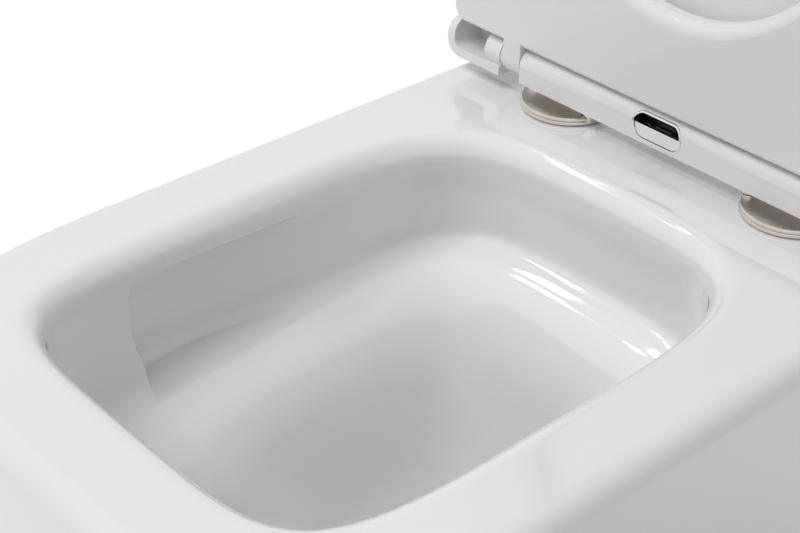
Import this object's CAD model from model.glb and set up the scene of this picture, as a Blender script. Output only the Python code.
import logging
import math
from dataclasses import dataclass
from enum import Enum
from typing import Sequence

import bpy
import numpy as np
from mathutils import Matrix, Vector


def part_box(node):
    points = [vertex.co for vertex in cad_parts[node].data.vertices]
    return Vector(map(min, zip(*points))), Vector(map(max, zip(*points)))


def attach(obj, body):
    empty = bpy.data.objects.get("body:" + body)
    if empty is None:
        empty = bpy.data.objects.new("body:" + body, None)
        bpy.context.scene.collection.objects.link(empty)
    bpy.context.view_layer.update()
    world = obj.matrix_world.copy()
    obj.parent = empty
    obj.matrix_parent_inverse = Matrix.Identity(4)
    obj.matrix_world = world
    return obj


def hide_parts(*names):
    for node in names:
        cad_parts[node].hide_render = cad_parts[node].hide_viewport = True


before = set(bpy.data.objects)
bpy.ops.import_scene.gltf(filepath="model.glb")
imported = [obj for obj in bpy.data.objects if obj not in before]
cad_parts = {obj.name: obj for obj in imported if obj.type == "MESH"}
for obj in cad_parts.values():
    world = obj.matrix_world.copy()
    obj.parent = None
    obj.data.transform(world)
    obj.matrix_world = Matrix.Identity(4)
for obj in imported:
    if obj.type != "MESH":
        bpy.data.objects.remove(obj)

log = logging.getLogger("toilet_pan")

Array = np.ndarray
Pair = tuple[float, float]
Triple = tuple[float, float, float]
Colour = Triple
Object = bpy.types.Object
Socket = bpy.types.NodeSocket

MM = 0.001
TURN = 2 * math.pi
WELD_GAP = 0.002 * MM
AXIS_GAP = 0.001 * MM
MIX_SHARE, MIX_FIRST, MIX_SECOND, MIX_RESULT = 0, 6, 7, 2
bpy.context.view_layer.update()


class Carve(Enum):
    """How a second solid changes the first."""

    CUT = "DIFFERENCE"
    ADD = "UNION"
    KEEP = "INTERSECT"


# Surface mathematics


def ease(value: Array, low: float, high: float) -> Array:
    """Rises smoothly from 0 at low to 1 at high.

    Formula: three times the squared share minus twice the cubed share.

    Args:
        value: The numbers to ease.
        low: Where the rise starts.
        high: Where it ends.

    Returns:
        The eased numbers, between 0 and 1.
    """
    share = np.clip((value - low) / (high - low), 0.0, 1.0)
    return share * share * (3 - 2 * share)


def ring(flat: Array, height: Array | float) -> Array:
    """Stands a plan outline at a height, which may differ from point to point."""
    return np.column_stack([flat, np.broadcast_to(height, len(flat))])


def round_profile(radius: float, steps: int, start: float = 0.0, end: float = 90.0) -> Array:
    """Points of an arc from straight up to straight out.

    Formula: out is the radius times the sine, and up is the radius times the cosine.

    Args:
        radius: The arc's radius in metres.
        steps: The number of points.
        start: The first angle from upright, in degrees.
        end: The last angle from upright, in degrees.

    Returns:
        One row per point, out and up.
    """
    angle = np.radians(np.linspace(start, end, steps))
    return radius * np.column_stack([np.sin(angle), np.cos(angle)])


@dataclass(frozen=True)
class SoftSquare:
    """A squarish outline whose front and rear halves differ.

    Formula: in polar form, the distance from the centre is the sum of the across share and
    the along share, each raised to a power, raised to minus one over that power. A high power
    gives tight corners.
    """

    centre: float
    half: float
    rear: float
    front: float
    rear_power: float
    front_power: float
    taper: float = 0.0

    def at(self, angle: Array) -> Array:
        """Points of the outline at the given angles."""
        across, along = np.cos(angle), np.sin(angle)
        behind = along > 0
        reach = np.where(behind, self.rear, self.front)
        power = np.where(behind, self.rear_power, self.front_power)
        total = np.abs(across / self.half) ** power + np.abs(along / reach) ** power
        distance = total ** (-1 / power)
        narrowing = 1 - self.taper * (1 + distance * along / self.rear) / 2
        return np.column_stack([distance * across * narrowing, self.centre + distance * along])


def outward(outline: SoftSquare, angle: Array, step: float = 1e-4) -> Array:
    """Unit directions that point out of an outline.

    Formula: the difference of two near points, turned a quarter clockwise and scaled to one.

    Args:
        outline: The outline.
        angle: The angles about its centre.
        step: Half the angle between the two near points.

    Returns:
        One direction per angle.
    """
    along = outline.at(angle + step) - outline.at(angle - step)
    out = np.column_stack([along[:, 1], -along[:, 0]])
    return out / np.linalg.norm(out, axis=1, keepdims=True)


def share_out(weight: Array, angle: Array, count: int) -> Array:
    """Picks angles so that each step carries an equal part of the weight.

    Args:
        weight: How much detail each fine step needs.
        angle: The fine angles.
        count: How many angles to pick.

    Returns:
        The picked angles, in order.
    """
    total = np.concatenate([[0.0], np.cumsum(weight)])
    wanted = np.arange(count) / count * total[-1]
    return np.interp(wanted, total, np.append(angle, angle[0] + TURN))


def curve(start: Array, start_pull: Array, end_pull: Array, end: Array, shares: Array) -> Array:
    """Rings along a cubic curve from one ring to another.

    Formula: the Bernstein sum of the four control rings.

    Args:
        start: The first ring.
        start_pull: The ring that sets how the curve leaves the first.
        end_pull: The ring that sets how it reaches the last.
        end: The last ring.
        shares: How far along the curve each new ring lies, from 0 to 1.

    Returns:
        An array of rings, points and coordinates.
    """
    t = shares[:, None, None]
    return (
        (1 - t) ** 3 * start + 3 * t * (1 - t) ** 2 * start_pull
        + 3 * t**2 * (1 - t) * end_pull + t**3 * end
    )


def between(start: Array, end: Array, shares: Sequence[float]) -> Array:
    """Rings on straight lines from one ring to another."""
    t = np.asarray(shares)[:, None, None]
    return (1 - t) * start + t * end


def grid_faces(rows: int, columns: int) -> Array:
    """Four-sided faces of a grid whose columns close into rings.

    Args:
        rows: The number of rings.
        columns: The number of points in a ring.

    Returns:
        One row of four point numbers per face, in row order.
    """
    row = np.arange(rows - 1)[:, None]
    column = np.arange(columns)[None, :]
    here = row * columns
    there = (row + 1) * columns
    beside = (column + 1) % columns
    corners = [here + column, here + beside, there + beside, there + column]
    return np.stack(np.broadcast_arrays(*corners), axis=-1).reshape(-1, 4)


def signed_volume(points: Array, faces: Array) -> float:
    """The volume inside four-sided faces, negative if they point inwards."""
    a, b, c, d = (points[faces[:, n]] for n in range(4))
    return float((np.cross(b - a, c - a) * a).sum() + (np.cross(c - a, d - a) * a).sum())


def loft(name: str, rings: Array, second: Array | None = None) -> Object:
    """Makes a closed object from rings of points, with a fan over each end.

    Args:
        name: The object's name.
        rings: An array of rings, points and coordinates, in metres.
        second: For each band between rings, whether it takes the second material.

    Returns:
        The new object, its faces pointing outwards.
    """
    rows, columns = rings.shape[:2]
    points = rings.reshape(-1, 3)
    faces = grid_faces(rows, columns)
    turned = signed_volume(points, faces) < 0
    if turned:
        faces = faces[:, ::-1]
    points = np.vstack([points, rings[0].mean(axis=0), rings[-1].mean(axis=0)])
    first = np.arange(columns)
    after = (first + 1) % columns
    last = (rows - 1) * columns
    lower = np.column_stack([after, first, np.full(columns, rows * columns)])
    upper = np.column_stack([first + last, after + last, np.full(columns, rows * columns + 1)])
    fans = np.vstack([lower, upper])
    listed = faces.tolist() + (fans[:, ::-1] if turned else fans).tolist()
    mesh = bpy.data.meshes.new(name)
    mesh.from_pydata(points, [], listed)
    if second is not None:
        chosen = np.zeros(len(mesh.polygons), dtype=np.int32)
        chosen[: len(faces)] = np.repeat(second, columns)
        chosen[len(faces): len(faces) + columns] = int(second[0])
        chosen[len(faces) + columns:] = int(second[-1])
        mesh.polygons.foreach_set("material_index", chosen)
    mesh.validate()
    mesh.shade_smooth()
    piece = bpy.data.objects.new(name, mesh)
    bpy.context.scene.collection.objects.link(piece)
    return piece


def revolve(name: str, profile: Array, centre: Sequence[float], columns: int) -> Object:
    """Makes a round object from a profile of distance and height, about an upright line.

    Formula: each point goes round at its own distance from the line.

    Args:
        name: The object's name.
        profile: Points of distance and height.
        centre: The foot of the line.
        columns: The number of points round it.

    Returns:
        The new object.
    """
    angle = np.arange(columns) / columns * TURN
    circle = np.column_stack([np.cos(angle), np.sin(angle)])
    rings = np.stack([ring(circle * max(r, AXIS_GAP) + centre[:2], z + centre[2]) for r, z in profile])
    return loft(name, rings)


def tube(name: str, path: Array, radius: Array | float, columns: int = 40) -> Object:
    """Makes a solid round bar along a path that lies in the upright plane through the middle.

    Formula: at each point of the path, a circle across the path's own direction.

    Args:
        name: The object's name.
        path: Points of Y and Z.
        radius: One radius, or one for each point.
        columns: The number of points round it.

    Returns:
        The new object.
    """
    along = np.gradient(path, axis=0)
    along /= np.linalg.norm(along, axis=1, keepdims=True)
    angle = np.arange(columns) / columns * TURN
    size = np.broadcast_to(radius, len(path))[:, None]
    x = size * np.cos(angle)
    y = path[:, :1] - size * np.sin(angle) * along[:, 1:]
    z = path[:, 1:] + size * np.sin(angle) * along[:, :1]
    return loft(name, np.stack([x, y, z], axis=-1))


def slab(name: str, low: Sequence[float], high: Sequence[float]) -> Object:
    """Makes a box, which is then cut to shape.

    Args:
        name: The object's name.
        low: Its low corner.
        high: Its high corner.

    Returns:
        The new object.
    """
    low, high = np.array(low, float), np.array(high, float)
    corners = np.array([[0, 0], [1, 0], [1, 1], [0, 1]])
    flat = low[:2] + corners * (high[:2] - low[:2])
    return loft(name, np.stack([ring(flat, low[2]), ring(flat, high[2])]))


# Changing and finishing meshes


def settle(piece: Object) -> Object:
    """Applies a piece's modifiers to its mesh."""
    graph = bpy.context.evaluated_depsgraph_get()
    mesh = bpy.data.meshes.new_from_object(piece.evaluated_get(graph), depsgraph=graph)
    piece.modifiers.clear()
    piece.data = mesh
    return piece


def carve(piece: Object, tool: Object, how: Carve) -> Object:
    """Cuts, adds or keeps a second solid, and removes that solid.

    Args:
        piece: The object that stays.
        tool: The object that is used up.
        how: What happens.

    Returns:
        The piece.
    """
    modifier = piece.modifiers.new("carve", "BOOLEAN")
    modifier.operation = how.value
    modifier.solver = "MANIFOLD"
    modifier.object = tool
    settle(piece)
    bpy.data.objects.remove(tool)
    return piece


def eased_edges(piece: Object, width: float, sharp: float = 35.0) -> None:
    """Joins a CAD piece's loose triangles and gives it the small rounds of a real one.

    Args:
        piece: The object.
        width: The width of each round in metres.
        sharp: The least angle in degrees at which an edge is rounded.
    """
    join = piece.modifiers.new("join", "WELD")
    join.merge_threshold = WELD_GAP
    bevel = piece.modifiers.new("rounds", "BEVEL")
    bevel.width = width
    bevel.segments = 2
    bevel.limit_method = "ANGLE"
    bevel.angle_limit = math.radians(sharp)
    bevel.use_clamp_overlap = True
    bevel.harden_normals = True


def crisp(piece: Object, sharp: float = 32.0) -> Object:
    """Shades a piece smoothly except across edges sharper than the given angle."""
    piece.data.shade_smooth()
    piece.data.set_sharp_from_angle(angle=math.radians(sharp))
    weights = piece.modifiers.new("weights", "WEIGHTED_NORMAL")
    weights.keep_sharp = True
    return piece


# Materials


class Value:
    """A number on a node's socket. Arithmetic with it adds Math nodes."""

    def __init__(self, shader: "Shader", socket: Socket) -> None:
        """Wraps a socket of the shader's node tree."""
        self.shader = shader
        self.socket = socket

    def _sum(self, operation: str, first: "Value | float", second: "Value | float") -> "Value":
        """Adds one Math node."""
        node = self.shader.node("ShaderNodeMath", {"operation": operation}, {0: first, 1: second})
        return Value(self.shader, node.outputs[0])

    def __add__(self, other: "Value | float") -> "Value":
        """The sum."""
        return self._sum("ADD", self, other)

    __radd__ = __add__

    def __sub__(self, other: "Value | float") -> "Value":
        """The difference."""
        return self._sum("SUBTRACT", self, other)

    def __rsub__(self, other: "Value | float") -> "Value":
        """The difference, the other way round."""
        return self._sum("SUBTRACT", other, self)

    def __mul__(self, other: "Value | float") -> "Value":
        """The product."""
        return self._sum("MULTIPLY", self, other)

    __rmul__ = __mul__

    def rising(self, low: float, high: float) -> "Value":
        """Rises smoothly from 0 at low to 1 at high."""
        settings = {"interpolation_type": "SMOOTHSTEP"}
        inputs = {"Value": self, "From Min": low, "From Max": high}
        node = self.shader.node("ShaderNodeMapRange", settings, inputs)
        return Value(self.shader, node.outputs["Result"])


class Shader:
    """A material under construction."""

    def __init__(self, name: str) -> None:
        """Starts a material with an empty node tree."""
        self.material = bpy.data.materials.new(name)
        self.material.use_nodes = True
        self.tree = self.material.node_tree
        self.tree.nodes.clear()

    def node(self, kind: str, settings: dict, inputs: dict) -> bpy.types.Node:
        """Adds a node.

        Args:
            kind: The node's type.
            settings: Its own settings, which are set first.
            inputs: For each socket, a number, colour, socket or Value.

        Returns:
            The node.
        """
        node = self.tree.nodes.new(kind)
        for key, setting in settings.items():
            setattr(node, key, setting)
        for key, given in inputs.items():
            source = given.socket if isinstance(given, Value) else given
            if isinstance(source, Socket):
                self.tree.links.new(source, node.inputs[key])
            else:
                node.inputs[key].default_value = source
        return node

    def place(self) -> Socket:
        """The position on the object, in metres."""
        return self.node("ShaderNodeTexCoord", {}, {}).outputs["Object"]

    def noise(self, grain: float, detail: float = 2.0, stretch: Sequence[float] = (1, 1, 1)) -> Value:
        """Cloudy noise between 0 and 1.

        Args:
            grain: The size of its clouds in metres.
            detail: How many finer layers it has.
            stretch: How much finer it is along each axis.

        Returns:
            The noise.
        """
        mapped = self.node("ShaderNodeMapping", {}, {"Vector": self.place(), "Scale": tuple(stretch)})
        inputs = {"Vector": mapped.outputs[0], "Scale": 1 / grain, "Detail": detail}
        return Value(self, self.node("ShaderNodeTexNoise", {}, inputs).outputs["Fac"])

    def blend(self, share: Value, first: Colour, second: Colour) -> Socket:
        """A colour between two others."""
        inputs = {MIX_SHARE: share, MIX_FIRST: (*first, 1.0), MIX_SECOND: (*second, 1.0)}
        return self.node("ShaderNodeMix", {"data_type": "RGBA"}, inputs).outputs[MIX_RESULT]

    def bump(self, height: Value, depth: float) -> Socket:
        """A normal that follows a height field of the given depth in metres."""
        inputs = {"Height": height, "Distance": depth, "Strength": 1.0}
        return self.node("ShaderNodeBump", {}, inputs).outputs["Normal"]

    def surface(self, inputs: dict) -> bpy.types.Material:
        """Ends the material in one Principled shader."""
        shader = self.node("ShaderNodeBsdfPrincipled", {}, inputs)
        self.node("ShaderNodeOutputMaterial", {}, {"Surface": shader.outputs[0]})
        return self.material


def tinted(colour: Colour, factor: float) -> Colour:
    """A colour made lighter or darker."""
    return tuple(min(part * factor, 1.0) for part in colour)


@dataclass(frozen=True)
class Glaze:
    """White vitreous china: a clear gloss glaze with faint ripples over a white body."""

    name: str = "glazed_china"
    colour: Colour = (0.845, 0.845, 0.84)
    roughness: float = 0.07
    ripple_size: float = 55 * MM
    ripple_depth: float = 0.05 * MM
    skin_size: float = 7 * MM
    skin_depth: float = 0.004 * MM

    def make(self) -> bpy.types.Material:
        """Builds the material."""
        shader = Shader(self.name)
        cloud = shader.noise(0.12)
        skin = shader.noise(self.skin_size)
        waves = shader.noise(self.ripple_size, 1.0)
        height = waves * (self.ripple_depth / self.skin_depth) + skin
        return shader.surface({
            "Base Color": shader.blend(cloud.rising(0.3, 0.7), self.colour, tinted(self.colour, 0.985)),
            "Roughness": self.roughness + 0.03 * cloud,
            "Coat Weight": 1.0,
            "Coat Roughness": 0.03,
            "Normal": shader.bump(height, self.skin_depth),
        })


@dataclass(frozen=True)
class Biscuit:
    """Fired but unglazed china, as it is inside the skirt and under the foot."""

    name: str = "biscuit_china"
    colour: Colour = (0.70, 0.67, 0.61)

    def make(self) -> bpy.types.Material:
        """Builds the material."""
        shader = Shader(self.name)
        grain = shader.noise(0.6 * MM, 3.0)
        cloud = shader.noise(60 * MM, 3.0)
        stain = cloud * 0.7 + grain * 0.3
        return shader.surface({
            "Base Color": shader.blend(stain.rising(0.3, 0.7), self.colour, tinted(self.colour, 0.86)),
            "Roughness": 0.72 + 0.15 * grain,
            "Normal": shader.bump(grain, 0.06 * MM),
        })


@dataclass(frozen=True)
class Moulded:
    """A moulded plastic or rubber, from polished to matt."""

    name: str
    colour: Colour
    roughness: float
    grain: float
    depth: float
    coat: float = 0.0
    shift: float = 0.97

    def make(self) -> bpy.types.Material:
        """Builds the material."""
        shader = Shader(self.name)
        cloud = shader.noise(0.09)
        texture = shader.noise(self.grain)
        return shader.surface({
            "Base Color": shader.blend(cloud.rising(0.3, 0.7), self.colour, tinted(self.colour, self.shift)),
            "Roughness": self.roughness + (texture - 0.5) * (self.roughness * 0.4),
            "Coat Weight": self.coat,
            "Coat Roughness": 0.05,
            "Normal": shader.bump(texture, self.depth),
        })


@dataclass(frozen=True)
class Metal:
    """Plated or drawn metal, with a fine grain along one direction or none."""

    name: str
    colour: Colour
    roughness: float
    grain: float
    depth: float
    stretch: Triple = (1.0, 1.0, 1.0)
    patina: float = 0.9

    def make(self) -> bpy.types.Material:
        """Builds the material."""
        shader = Shader(self.name)
        grain = shader.noise(self.grain, 3.0, self.stretch)
        cloud = shader.noise(12 * MM)
        worn = tinted(self.colour, self.patina)
        return shader.surface({
            "Base Color": shader.blend(cloud.rising(0.35, 0.65), self.colour, worn),
            "Metallic": 1.0,
            "Roughness": self.roughness + (cloud - 0.5) * (self.roughness * 0.5),
            "Normal": shader.bump(grain, self.depth),
        })


FINISHES = {
    "glaze": Glaze(),
    "biscuit": Biscuit(),
    "seat": Moulded(
        "seat_plastic", (0.82, 0.82, 0.815), 0.16, grain=3 * MM, depth=0.002 * MM, coat=0.6, shift=0.99,
    ),
    "chrome": Metal("chrome_plate", (0.86, 0.845, 0.83), 0.09, grain=4 * MM, depth=0.001 * MM, patina=0.97),
    "nickel": Metal(
        "satin_nickel", (0.74, 0.705, 0.66), 0.3, grain=0.25 * MM, depth=0.003 * MM, patina=0.95,
    ),
    "bright": Metal("bright_nickel", (0.86, 0.83, 0.79), 0.12, grain=2 * MM, depth=0.001 * MM, patina=0.97),
    "zinc": Metal(
        "zinc_steel", (0.62, 0.62, 0.60), 0.28, grain=0.7 * MM, depth=0.004 * MM, stretch=(1, 1, 0.3),
    ),
    "wire": Metal("spring_wire", (0.5, 0.5, 0.5), 0.22, grain=0.5 * MM, depth=0.002 * MM),
    "black": Moulded(
        "black_nylon", (0.012, 0.011, 0.010), 0.42, grain=0.8 * MM, depth=0.01 * MM, shift=0.8,
    ),
    "grey": Moulded("grey_nylon", (0.30, 0.30, 0.31), 0.45, grain=0.8 * MM, depth=0.01 * MM, shift=0.92),
    "white": Moulded("white_nylon", (0.76, 0.76, 0.74), 0.4, grain=0.8 * MM, depth=0.01 * MM),
    "rubber": Moulded("black_rubber", (0.02, 0.02, 0.02), 0.62, grain=1.2 * MM, depth=0.02 * MM, shift=0.8),
    "soft_white": Moulded("white_rubber", (0.74, 0.74, 0.72), 0.5, grain=1.0 * MM, depth=0.01 * MM),
    "seal": Moulded("clear_rubber", (0.62, 0.62, 0.60), 0.35, grain=1.0 * MM, depth=0.01 * MM),
}


class Palette:
    """Every finish on the part, made once."""

    def __init__(self) -> None:
        """Builds the materials."""
        self.made = {key: finish.make() for key, finish in FINISHES.items()}

    def __getitem__(self, key: str) -> bpy.types.Material:
        """The material of one finish."""
        return self.made[key]


def dress(piece: Object, *materials: bpy.types.Material) -> Object:
    """Gives a piece its materials, in slot order."""
    piece.data.materials.clear()
    for material in materials:
        piece.data.materials.append(material)
    return piece


def hand_over(piece: Object, body: str, slot: str, *nodes: str) -> Object:
    """Makes a finished piece ride on its body in place of its CAD nodes, and logs it."""
    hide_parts(*nodes)
    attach(piece, body)
    log.info("%s rides on %s for %s, %d faces", piece.name, body, ", ".join(nodes), len(piece.data.polygons))
    return piece


# The ceramic pan


@dataclass
class CeramicPan:
    """The glazed pan: skirt, deck, mouth, flush channel, basin, dip, trap and fixing holes.

    Its overall size comes from the box of the pan's frame node. Lengths are in metres,
    slopes in degrees, and a pair of powers is for the rear and the front.
    """

    body_powers: Pair = (48.0, 4.4)
    body_taper: float = 0.017
    body_allowance: float = 1.002
    foot_inset: float = 18.5 * MM
    foot_setback: float = 44 * MM
    foot_round: float = 2 * MM
    foot_bend: Pair = (0.7 * MM, 0.6 * MM)
    inner_foot_round: float = 1 * MM
    shoulder: float = 13 * MM
    skirt_wall: float = 11 * MM
    deck_thickness: float = 14 * MM
    deck_margin: float = 1.5 * MM
    mouth_middle: float = -100 * MM
    mouth_half: float = 135.5 * MM
    mouth_rear: float = 165.5 * MM
    mouth_front: float = 166.3 * MM
    mouth_powers: Pair = (3.85, 4.6)
    mouth_taper: float = 0.03
    mouth_round: float = 14 * MM
    bowl_wall: float = 9 * MM
    wall_drops: tuple[float, ...] = (14, 15.5, 17, 18.2, 19.2, 20.2, 21.4, 22.8, 24.4, 26.4, 29, 32, 36)
    wall_step: float = 0.2 * MM
    channel_top: float = 19.5 * MM
    channel_deep: float = 18 * MM
    channel_shallow: float = 1 * MM
    channel_end: float = -174 * MM
    channel_lean: float = 7 * MM
    lean_low: float = 325 * MM
    lean_high: float = 358 * MM
    channel_corner: float = 6 * MM
    channel_edge: float = 1.8 * MM
    lip_softness: float = 0.42
    lip_softening: float = 0.3
    fade_start: float = 20 * MM
    fade_end: float = 150 * MM
    shelf_rear_drop: float = 64 * MM
    shelf_fall: float = 0.1018
    shelf_slope: float = 17
    shelf_slope_gain: float = 21
    shelf_width: float = 2 * MM
    shelf_round: float = 10 * MM
    side_round: float = 14 * MM
    side_start: float = -20 * MM
    side_end: float = 90 * MM
    front_round: float = 46 * MM
    front_start: float = 2 * MM
    front_blend: float = 70 * MM
    water_drop: float = 200 * MM
    water_middle: float = -66 * MM
    water_half: float = 60 * MM
    water_reach: float = 66 * MM
    water_power: float = 2.5
    water_slope: float = 66
    leaving_pull: float = 0.36
    arriving_pull: float = 0.30
    dip_drop: float = 322 * MM
    dip_middle: float = -56 * MM
    dip_narrowing: float = 24 * MM
    dip_lengthening: float = 4 * MM
    dip_power: float = 2.4
    floor_round: float = 12 * MM
    trap_bore: float = 36 * MM
    trap_wall: float = 9 * MM
    trap_rise: float = 124 * MM
    trap_turns: tuple[float, ...] = (-60 * MM, 90 * MM, 122 * MM, 192 * MM, 224 * MM)
    trap_end: float = 0.5
    trap_step: float = 3 * MM
    trap_easing: int = 27
    trap_lead: float = 4 * MM
    trap_tail: float = 50 * MM
    room_wall: float = 4 * MM
    spigot_radius: float = 51 * MM
    spigot_places: tuple[float, ...] = (-73 * MM, -20 * MM, -18 * MM)
    spigot_shares: tuple[float, ...] = (1, 1, 0.975)
    outlet_height: float = 180 * MM
    duct_halves: Pair = (45, 30)
    duct_rises: Pair = (4, 14)
    duct_heights: Pair = (380, 370)
    duct_overlap: float = 8 * MM
    duct_power: float = 5.0
    inlet_place: float = 175 * MM
    inlet_radius: float = 30 * MM
    inlet_low: float = 357 * MM
    inlet_wall: float = 8 * MM
    inlet_chamfer: float = 1.2 * MM
    under_deck: float = 398 * MM
    bulkhead_half: float = 180 * MM
    bulkhead_places: Pair = (217 * MM, 227 * MM)
    bulkhead_low: float = 120 * MM
    bulkhead_top: float = 7 * MM
    arch_half: float = 95 * MM
    arch_crown: float = 275 * MM
    arch_depth: float = 14 * MM
    seat_hole: Triple = (77.5 * MM, 114 * MM, 7.25 * MM)
    cistern_hole: Triple = (82.5 * MM, 175 * MM, 7.0 * MM)
    hole_low: float = 380 * MM
    hole_chamfer: float = 0.8 * MM
    cap_hole: Pair = (9.3 * MM, 4.6 * MM)
    screw_hole: Pair = (4.5 * MM, 40 * MM)
    cutter_top: float = 420 * MM
    spare: float = 5 * MM
    columns: int = 340
    fine_columns: int = 24000
    mouth_detail: float = 1.6
    corner_detail: float = 0.5
    step_detail: float = 0.35
    step_width: float = 6 * MM

    def __post_init__(self) -> None:
        """Reads the pan's extent from the frame and shares out the columns."""
        low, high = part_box("pan_body")
        self.height = high.z
        self.back = high.y
        self.half = high.x
        self.body = SoftSquare(
            self.mouth_middle, self.half * self.body_allowance, self.back - self.mouth_middle,
            self.mouth_middle - low.y, *self.body_powers, self.body_taper,
        )
        self.mouth = SoftSquare(
            self.mouth_middle, self.mouth_half, self.mouth_rear, self.mouth_front,
            *self.mouth_powers, self.mouth_taper,
        )
        self.angle = self.columns_round()
        self.edge = self.mouth.at(self.angle)
        self.out = outward(self.mouth, self.angle)
        y = self.edge[:, 1]
        self.frontness = ease(-y, -self.channel_end + self.front_start, -self.channel_end + self.front_blend)
        self.rearness = ease(y, self.channel_end + self.fade_start, self.channel_end + self.fade_end)

    def columns_round(self) -> Array:
        """Places the columns: even on both outlines, closer at the rear corners and the step.

        Formula: each column gets an equal part of a weighted sum of the two outlines' lengths,
        the outer outline's turning and the mouth's length near the step.

        Returns:
            The angle of each column.
        """
        fine = np.arange(self.fine_columns) / self.fine_columns * TURN
        outer, inner = self.body.at(fine), self.mouth.at(fine)
        outer_step = np.linalg.norm(np.roll(outer, -1, axis=0) - outer, axis=1)
        inner_step = np.linalg.norm(np.roll(inner, -1, axis=0) - inner, axis=1)
        heading = np.unwrap(np.arctan2(*(np.roll(outer, -1, axis=0) - outer).T[::-1]))
        turning = np.abs(np.diff(heading, append=heading[0] + TURN))
        step_middle = self.channel_end - self.channel_lean / 2
        step = np.exp(-(((inner[:, 1] - step_middle) / self.step_width) ** 2)) * inner_step
        weight = (
            outer_step / outer_step.sum() + self.mouth_detail * inner_step / inner_step.sum()
            + self.corner_detail * turning / turning.sum() + self.step_detail * step / step.sum()
        )
        return share_out(weight, fine, self.columns)

    def level(self, height: float, inset: float) -> Array:
        """A ring of the pan's outer form.

        Formula: the foot's extra inset shrinks with the square of the share of height left.

        Args:
            height: The ring's height.
            inset: How far inside the outer surface it lies.

        Returns:
            The ring.
        """
        left = (1 - height / self.height) ** 2
        outline = SoftSquare(
            self.body.centre, self.body.half - self.foot_inset * left - inset, self.body.rear - inset,
            self.body.front - self.foot_setback * left - inset,
            self.body.rear_power, self.body.front_power, self.body.taper,
        )
        return ring(outline.at(self.angle), height)

    def channel(self, height: Array, grow: float) -> Array:
        """How far the flush channel is set back at each point of a ring of the wall.

        Formula: the distance inwards from a corner with rounded edges, eased over the width
        of the edge. The channel grows shallow and soft towards the rear.

        Args:
            height: The height of each point.
            grow: How far outside the glazed surface the ring lies.

        Returns:
            The setbacks.
        """
        lean = self.channel_lean * ease(height, self.lean_low, self.lean_high)
        along = self.edge[:, 1] - self.channel_end + lean
        softness = self.lip_softness - self.lip_softening * self.rearness
        under = (self.height - self.channel_top + grow - height) * softness
        short = np.maximum(self.channel_corner - along, 0)
        low = np.maximum(self.channel_corner - under, 0)
        inside = self.channel_corner - np.hypot(short, low)
        depth = self.channel_deep + (self.channel_shallow - self.channel_deep) * self.rearness
        return depth * ease(inside, 0, self.channel_edge)

    def basin_rings(self, grow: float) -> Array:
        """Rings from the upright wall down to the floor of the dip.

        The wall is upright, then turns onto a sloping shelf by a quadratic curve, and the
        basin falls from the shelf to the dip along cubic curves.

        Args:
            grow: How far outside the glazed surface the rings lie.

        Returns:
            The rings, top first.
        """
        y = self.edge[:, 1]
        rear_edge = self.mouth.rear + self.mouth_middle
        shelf = self.height - self.shelf_rear_drop - self.shelf_fall * (rear_edge - y)
        slope = np.radians(self.shelf_slope + self.shelf_slope_gain * self.frontness)
        side = ease(-y, self.side_start, self.side_end)
        turn = self.shelf_round + (self.side_round - self.shelf_round) * side
        turn += (self.front_round - self.side_round) * self.frontness
        reach = turn / np.tan(np.pi / 4 + slope / 2)
        inward = self.mouth_round

        def at(inset: Array, height: Array) -> Array:
            """A ring of the bowl at an inset from the mouth's edge."""
            return ring(self.edge - self.out * (inset - grow)[:, None], height)

        tops = self.height - np.array(self.wall_drops) * MM
        start = shelf + reach - grow
        heights = [np.maximum(z, start + self.wall_step) for z in tops]
        heights += [tops[-1] + (start - tops[-1]) * share for share in np.linspace(0, 1, 16)[1:]]
        wall = [at(inward - self.channel(z, grow), z) for z in heights]
        setback = self.channel(heights[-1], grow)
        foot = inward - setback
        foot_height = shelf - grow + setback * np.tan(slope)
        first = at(foot, foot_height + reach)
        corner = at(foot, foot_height)
        last = at(foot + reach * np.cos(slope), foot_height - reach * np.sin(slope))
        wall[-1] = first
        shares = np.linspace(0, 1, 9)[1:]
        turning = [(1 - t) ** 2 * first + 2 * t * (1 - t) * corner + t**2 * last for t in shares]
        ledge = reach * np.cos(slope) + self.shelf_width
        shelf_edge = at(inward + ledge, shelf - grow - ledge * np.tan(slope))
        flat = between(last, shelf_edge, (0.35, 0.7, 1.0))
        return np.concatenate([wall, turning, flat, self.dip_rings(shelf_edge, slope, grow)])

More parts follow.
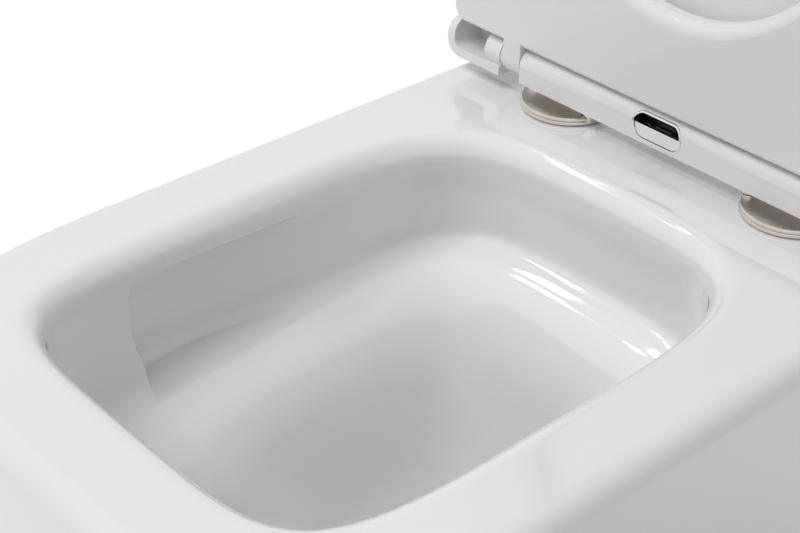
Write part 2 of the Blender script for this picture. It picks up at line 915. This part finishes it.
    def dip_rings(self, shelf_edge: Array, slope: Array, grow: float) -> Array:
        """Rings from the shelf's edge to the floor of the dip, which ends nearly at a point.

        Args:
            shelf_edge: The ring that they start from.
            slope: The shelf's slope at each column, in radians.
            grow: How far outside the glazed surface the rings lie.

        Returns:
            The rings, top first.
        """
        power = self.water_power
        reach_out = self.water_reach + grow
        water = SoftSquare(self.water_middle, self.water_half + grow, reach_out, reach_out, power, power)
        water_ring = ring(water.at(self.angle), self.height - self.water_drop - grow)
        reach = np.linalg.norm(water_ring - shelf_edge, axis=1)[:, None]
        leave = np.column_stack([-self.out * np.cos(slope)[:, None], -np.sin(slope)])
        steep = math.radians(self.water_slope)
        level = outward(water, self.angle) * math.cos(steep)
        arrive = np.column_stack([level, np.full(self.columns, math.sin(steep))])
        fall = curve(
            shelf_edge, shelf_edge + leave * reach * self.leaving_pull,
            water_ring + arrive * reach * self.arriving_pull, water_ring, np.linspace(0, 1, 27)[1:],
        )
        power = self.dip_power
        floor = self.height - self.dip_drop - grow
        depth = water_ring[0, 2] - floor - self.floor_round
        rings = list(fall)
        for share in np.linspace(0, 1, 12)[1:]:
            gone = 1 - (1 - share) ** 2
            half = water.half - self.dip_narrowing * gone
            middle = water.centre + (self.dip_middle - water.centre) * gone
            length = half + self.dip_lengthening * (1 - gone)
            outline = SoftSquare(middle, half, length, length, power, power)
            rings.append(ring(outline.at(self.angle), water_ring[0, 2] - depth * share))
        for out, up in round_profile(self.floor_round, 5)[::-1][1:]:
            left = half - self.floor_round + out
            outline = SoftSquare(self.dip_middle, left, left, left, power, power)
            rings.append(ring(outline.at(self.angle), floor + self.floor_round - up))
        return np.stack(rings)

    def shell(self) -> Object:
        """The whole wall of the pan as one closed surface, from the dip over the rim to the skirt.

        Returns:
            The wall, whose unglazed faces take the second material.
        """
        top = self.height
        fillet = round_profile(self.mouth_round, 12)[1:]
        mouth = [
            ring(self.edge - self.out * out, top - self.mouth_round + up) for out, up in fillet[:-1]
        ]
        glazed_in = np.concatenate([mouth, self.basin_rings(0.0)])
        edge = ring(self.edge, top)
        deck_end = self.level(top, self.shoulder)
        deck_end[:, 2] = top
        span = np.linalg.norm(deck_end - edge, axis=1)[:, None]
        near = edge + (deck_end - edge) / span * self.deck_margin
        far = deck_end - (deck_end - edge) / span * self.deck_margin
        rim = [edge, near, (near + far) / 2, far, deck_end]
        shoulder = [
            self.level(top - self.shoulder + up, self.shoulder - out)
            for out, up in round_profile(self.shoulder, 11)[1:]
        ]
        skirt = [self.level(z, 0.0) for z in np.linspace(top - self.shoulder, self.foot_round, 24)[1:]]
        foot = [self.level(*self.foot_bend), self.level(0.0, self.foot_round)]
        thin = self.inner_foot_round
        under = [self.level(0.0, self.skirt_wall - thin), self.level(thin, self.skirt_wall)]
        ceiling = top - self.deck_thickness
        inner = [self.level(z, self.skirt_wall) for z in np.linspace(thin, ceiling, 14)[1:]]
        bowl_out = self.basin_rings(self.bowl_wall)[1::2]
        outside = np.stack(rim + shoulder + skirt + foot + under + inner)
        rings = np.concatenate([glazed_in[::-1], outside, bowl_out])
        bare = np.zeros(len(rings) - 1, dtype=np.int32)
        bare[len(glazed_in) + len(rim) + len(shoulder) + len(skirt):] = 1
        return loft("ceramic_pan", rings, second=bare)

    def trap_path(self, end: float) -> Array:
        """The centre line of the trap, eased round its corners by a moving average.

        Args:
            end: The Y at which it ends.

        Returns:
            Points of Y and Z.
        """
        low = self.height - self.dip_drop + self.trap_bore
        high = low + self.trap_rise
        y = self.dip_middle
        heights = (low, low, high, high, self.outlet_height)
        corners = np.array([(y + turn, z) for turn, z in zip(self.trap_turns, heights)])
        corners = np.vstack([corners, (self.trap_end, self.outlet_height)])
        run = np.concatenate([[0], np.cumsum(np.linalg.norm(np.diff(corners, axis=0), axis=1))])
        fine = np.arange(0, run[-1], self.trap_step)
        path = np.column_stack([np.interp(fine, run, corners[:, n]) for n in (0, 1)])
        window = np.hanning(self.trap_easing)[1:-1]
        window /= window.sum()
        path = np.column_stack([np.convolve(path[:, n], window, mode="valid") for n in (0, 1)])
        return path[(path[:, 0] > y - self.trap_lead) & (path[:, 0] < end)]

    def duct(self, name: str, grow: float) -> Object:
        """The flush duct from the slot under the rim to the cistern's inlet.

        Formula: its half width and half height run evenly from one end's to the other's.

        Args:
            name: The object's name.
            grow: How far outside the bore the surface lies.

        Returns:
            The duct as a solid.
        """
        angle = np.arange(64) / 64 * TURN
        start, end = self.edge[:, 1].max() - self.duct_overlap, self.inlet_place
        (across_first, across_last), (tall_first, tall_last) = self.duct_halves, self.duct_rises
        height_first, height_last = self.duct_heights
        rings = []
        for share in np.linspace(0, 1, 8):
            across = (across_first + (across_last - across_first) * share) * MM + grow
            tall = (tall_first + (tall_last - tall_first) * share) * MM + grow
            middle = (height_first + (height_last - height_first) * ease(np.array(share), 0, 1)) * MM
            section = SoftSquare(0.0, across, tall, tall, self.duct_power, self.duct_power).at(angle)
            y = np.full(len(angle), start + (end - start) * share)
            rings.append(np.column_stack([section[:, 0], y, middle + section[:, 1]]))
        return loft(name, np.stack(rings))

    def post(self, place: Pair, radius: float, low: float, high: float, flare: float = 0.0) -> Object:
        """An upright round cutter, opened out at the deck by a small chamfer.

        Args:
            place: Its X and Y.
            radius: Its radius.
            low: The height of its foot.
            high: The height of its top.
            flare: The width of the chamfer.

        Returns:
            The cutter.
        """
        profile = [(radius, low)]
        if flare:
            profile += [(radius, self.height - flare), (radius + flare, self.height)]
        profile += [(radius + flare, high)]
        return revolve("cutter", np.array(profile), (*place, 0), 64)

    def arch(self) -> Object:
        """A cutter for the opening in the back of the skirt, round at its crown."""
        half, spare = self.arch_half, self.spare
        angle = np.linspace(0, np.pi, 40)
        bow = np.column_stack([half * np.cos(angle), self.arch_crown - half + half * np.sin(angle)])
        flat = np.vstack([[half, -spare], bow, [-half, -spare]])
        depths = (self.back - self.arch_depth, self.back + spare)
        sides = [np.column_stack([flat[:, 0], np.full(len(flat), y), flat[:, 1]]) for y in depths]
        return loft("cutter", np.stack(sides))

    def side_hole(self, side: int, radius: float, depth: float) -> Object:
        """A cutter along X through one side of the skirt near the floor.

        Args:
            side: -1 for the left and 1 for the right.
            radius: Its radius.
            depth: How far it goes in from the cap's outer face.

        Returns:
            The cutter.
        """
        low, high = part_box("side_caps")
        y, z = (low.y + high.y) / 2, (low.z + high.z) / 2
        angle = np.arange(48) / 48 * TURN
        flat = np.column_stack([y + radius * np.cos(angle), z + radius * np.sin(angle)])
        ends = (high.x - depth, high.x + 2 * self.spare)
        rings = [np.column_stack([np.full(len(flat), side * x), flat]) for x in ends]
        return loft("cutter", np.stack(rings))

    def added(self, palette: Palette) -> list[Object]:
        """The trap, the flush duct and the inlet's boss, cut clear of the bowl."""
        inlet = (0, self.inlet_place)
        pieces = [
            tube("trap", self.trap_path(self.back - self.trap_tail), self.trap_bore + self.trap_wall),
            self.duct("duct", self.inlet_wall),
            self.post(
                inlet, self.inlet_radius + self.inlet_wall, self.inlet_low - self.inlet_wall, self.under_deck,
            ),
        ]
        for piece in pieces:
            dress(piece, palette["biscuit"])
            carve(piece, loft("room", self.basin_rings(self.room_wall)), Carve.CUT)
        return pieces

    def bulkhead(self, palette: Palette) -> Object:
        """The upright web across the skirt, behind the bowl."""
        (front, rear), half = self.bulkhead_places, self.bulkhead_half
        levels = np.linspace(self.inner_foot_round, self.height - self.bulkhead_top, 12)
        inside = loft("inside", np.stack([self.level(z, self.spare) for z in levels]))
        wall = slab("bulkhead", (-half, front, self.bulkhead_low), (half, rear, self.under_deck))
        return carve(dress(wall, palette["biscuit"]), inside, Carve.KEEP)

    def spigot(self, palette: Palette) -> Object:
        """The outlet's round end, slightly eased at its rim."""
        path = np.array([(self.back + place, self.outlet_height) for place in self.spigot_places])
        radii = np.array(self.spigot_shares) * self.spigot_radius
        return dress(tube("spigot", path, radii, 72), palette["glaze"])

    def cutters(self) -> list[Object]:
        """The bores, the inlet, the rear arch and the holes of the fixings."""
        inlet = (0, self.inlet_place)
        tools = [
            tube("bore", self.trap_path(self.back), self.trap_bore, 56),
            self.duct("void", 0.0),
            self.post(inlet, self.inlet_radius, self.inlet_low, self.cutter_top, self.inlet_chamfer),
            self.arch(),
        ]
        for side in (-1, 1):
            for x, y, radius in (self.seat_hole, self.cistern_hole):
                place = (side * x, y)
                tools.append(self.post(place, radius, self.hole_low, self.cutter_top, self.hole_chamfer))
            tools += [self.side_hole(side, *self.cap_hole), self.side_hole(side, *self.screw_hole)]
        return tools

    def build(self, palette: Palette) -> Object:
        """Makes the pan and puts it in place of its node.

        Args:
            palette: The finishes.

        Returns:
            The pan.
        """
        pan = dress(self.shell(), palette["glaze"], palette["biscuit"])
        for piece in (*self.added(palette), self.bulkhead(palette), self.spigot(palette)):
            carve(pan, piece, Carve.ADD)
        for cutter in self.cutters():
            carve(pan, dress(cutter, palette["glaze"]), Carve.CUT)
        crisp(pan)
        return hand_over(pan, "pan", "glazed_ceramic", "pan_body")


# The carried-over pieces


@dataclass(frozen=True)
class Trim:
    """How carried-over CAD pieces are finished: material, width of edge rounds, and nodes."""

    material: str
    width: float
    nodes: tuple[str, ...]


CARRIED = (
    Trim("seat", 0.0, ("seat_ring", "lid")),
    Trim("seat", 0.5 * MM, ("hinge_bar",)),
    Trim("white", 0.2 * MM, ("hinge_bar_base", "lid_bush_left", "seat_bush_right", "side_caps")),
    Trim("chrome", 0.25 * MM, ("button_bezel",)),
    Trim("chrome", 0.2 * MM, ("release_button",)),
    Trim("black", 0.15 * MM, ("button_well",)),
    Trim("wire", 0.0, ("button_springs", "latch_springs")),
    Trim("zinc", 0.15 * MM, ("bar_screws", "latch_left", "latch_right")),
    Trim("zinc", 0.2 * MM, ("seat_bolts", "side_screws")),
    Trim("zinc", 0.3 * MM, ("sleeve_nuts",)),
    Trim("grey", 0.2 * MM, ("damper_body_left", "damper_body_right")),
    Trim("grey", 0.2 * MM, ("damper_shaft_left", "damper_shaft_right")),
    Trim("seal", 0.15 * MM, ("base_seals",)),
    Trim("nickel", 0.15 * MM, ("base_plate_left", "base_plate_right")),
    Trim("nickel", 0.12 * MM, ("disc_cover_left", "disc_cover_right")),
    Trim("bright", 0.15 * MM, ("hinge_post_left", "hinge_post_right")),
    Trim("rubber", 0.3 * MM, ("expansion_sleeves",)),
    Trim("soft_white", 0.8 * MM, ("seat_buffers",)),
    Trim("soft_white", 0.6 * MM, ("lid_buffers",)),
    Trim("black", 0.5 * MM, ("floor_bracket_left", "floor_bracket_right")),
)


def finish_carried(palette: Palette) -> None:
    """Gives every CAD piece that stays its material and small edge rounds."""
    for trim in CARRIED:
        for node in trim.nodes:
            piece = dress(bpy.data.objects[node], palette[trim.material])
            if trim.width:
                eased_edges(piece, trim.width)
            log.info("%s keeps its shape, %s", node, trim.material)


# The stage


@dataclass(frozen=True)
class Lamp:
    """A rectangular soft lamp that faces a point. A radiance of 1 looks plain white."""

    name: str
    place: Triple
    aim: Triple
    size: Pair
    radiance: float
    mirrored: bool = False

    def hang(self) -> None:
        """Adds the lamp.

        Formula: its power is its radiance times its area times pi.
        """
        data = bpy.data.lights.new(self.name, "AREA")
        data.shape = "RECTANGLE"
        data.size, data.size_y = self.size
        data.energy = self.radiance * math.pi * self.size[0] * self.size[1]
        lamp = bpy.data.objects.new(self.name, data)
        lamp.visible_glossy = self.mirrored
        bpy.context.scene.collection.objects.link(lamp)
        turn = (Vector(self.aim) - Vector(self.place)).to_track_quat("-Z", "Y")
        lamp.matrix_world = Matrix.Translation(self.place) @ turn.to_matrix().to_4x4()


LAMPS = (
    Lamp("overhead", (-0.9, 0.6, 3.2), aim=(0, 0, 0.4), size=(4.6, 4.6), radiance=0.10),
    Lamp("key", (-0.6, -1.6, 3.4), aim=(0, 0.1, 0.4), size=(1.8, 1.8), radiance=6.2),
    Lamp("pane_front", (-1.27, -0.20, 2.14), (-0.04, 0.03, 0.34), (0.20, 0.06), 8.0, mirrored=True),
    Lamp("pane_back", (-1.27, 0.16, 2.14), (-0.04, 0.03, 0.34), (0.20, 0.06), 8.0, mirrored=True),
)


@dataclass
class Studio:
    """The photograph's camera, a pale floor and soft light."""

    camera_place: Triple = (0.5504, -0.5655, 0.8858)
    yaw: float = 49.35
    pitch: float = 32.80
    roll: float = -0.52
    lens: float = 77.75
    sensor: float = 36.0
    fill: float = 0.40
    gloss: float = 0.86
    floor_half: float = 12.0
    floor_grey: float = 0.8
    shade_reach: float = 0.30
    white_from: float = 0.62

    def camera(self) -> Object:
        """Sets the camera where the photograph was taken from.

        The sight line is turned left by the yaw and down by the pitch, and the camera's own
        right and up are then turned by the roll.
        """
        yaw, pitch, roll = (math.radians(v) for v in (self.yaw, self.pitch, self.roll))
        sight = Vector((-math.sin(yaw) * math.cos(pitch), math.cos(yaw) * math.cos(pitch), -math.sin(pitch)))
        level = Vector((math.cos(yaw), math.sin(yaw), 0))
        rise = level.cross(sight)
        right = math.cos(roll) * level + math.sin(roll) * rise
        up = math.cos(roll) * rise - math.sin(roll) * level
        data = bpy.data.cameras.new("camera")
        data.lens = self.lens
        data.sensor_width = self.sensor
        data.clip_end = 50.0
        camera = bpy.data.objects.new("camera", data)
        bpy.context.scene.collection.objects.link(camera)
        turn = Matrix((right, up, -sight)).transposed()
        camera.matrix_world = Matrix.Translation(self.camera_place) @ turn.to_4x4()
        bpy.context.scene.camera = camera
        return camera

    def floor(self) -> Object:
        """A pale floor, plain white to the eye away from the object, which shades it nearby."""
        corners = np.array([[-1, -1], [1, -1], [1, 1], [-1, 1]]) * self.floor_half
        mesh = bpy.data.meshes.new("floor")
        mesh.from_pydata(ring(corners, 0.0), [], [(0, 1, 2, 3)])
        floor = bpy.data.objects.new("floor", mesh)
        bpy.context.scene.collection.objects.link(floor)
        shader = Shader("pale_floor")
        path = shader.node("ShaderNodeLightPath", {}, {})
        seen = sum((Value(shader, path.outputs[kind]) for kind in ("Is Glossy Ray", "Is Transmission Ray")),
                   Value(shader, path.outputs["Is Camera Ray"]))
        away = shader.node("ShaderNodeVectorMath", {"operation": "LENGTH"}, {0: shader.place()})
        bright = Value(shader, away.outputs["Value"]).rising(self.shade_reach, self.white_from)
        matt = shader.node("ShaderNodeBsdfDiffuse", {}, {"Color": (*[self.floor_grey] * 3, 1)})
        glow = shader.node("ShaderNodeEmission", {}, {"Color": (1, 1, 1, 1), "Strength": 1.0})
        inputs = {0: seen * bright, 1: matt.outputs[0], 2: glow.outputs[0]}
        mix = shader.node("ShaderNodeMixShader", {}, inputs)
        shader.node("ShaderNodeOutputMaterial", {}, {"Surface": mix.outputs[0]})
        dress(floor, shader.material)
        return floor

    def room(self) -> None:
        """A pale room: plain white to the eye, a little darker in reflections and as light."""
        world = bpy.data.worlds.new("room")
        world.use_nodes = True
        tree = world.node_tree
        tree.nodes.clear()
        path = tree.nodes.new("ShaderNodeLightPath")
        output = tree.nodes.new("ShaderNodeOutputWorld")
        last = None
        for kind, strength in ((None, self.fill), ("Is Glossy Ray", self.gloss), ("Is Camera Ray", 1.0)):
            light = tree.nodes.new("ShaderNodeBackground")
            light.inputs["Color"].default_value = (1, 1, 1, 1)
            light.inputs["Strength"].default_value = strength
            if last is not None:
                mix = tree.nodes.new("ShaderNodeMixShader")
                tree.links.new(path.outputs[kind], mix.inputs[0])
                tree.links.new(last.outputs[0], mix.inputs[1])
                tree.links.new(light.outputs[0], mix.inputs[2])
                light = mix
            last = light
        tree.links.new(last.outputs[0], output.inputs[0])
        bpy.context.scene.world = world

    def build(self) -> None:
        """Sets up the camera, floor, light and plain colour handling."""
        self.camera()
        self.floor()
        self.room()
        for lamp in LAMPS:
            lamp.hang()
        bpy.context.scene.view_settings.view_transform = "Standard"


def main() -> None:
    """Builds the object, its finishes and the stage."""
    logging.basicConfig(level=logging.INFO, format="%(message)s")
    palette = Palette()
    CeramicPan().build(palette)
    finish_carried(palette)
    Studio().build()


if __name__ == "__main__":
    main()
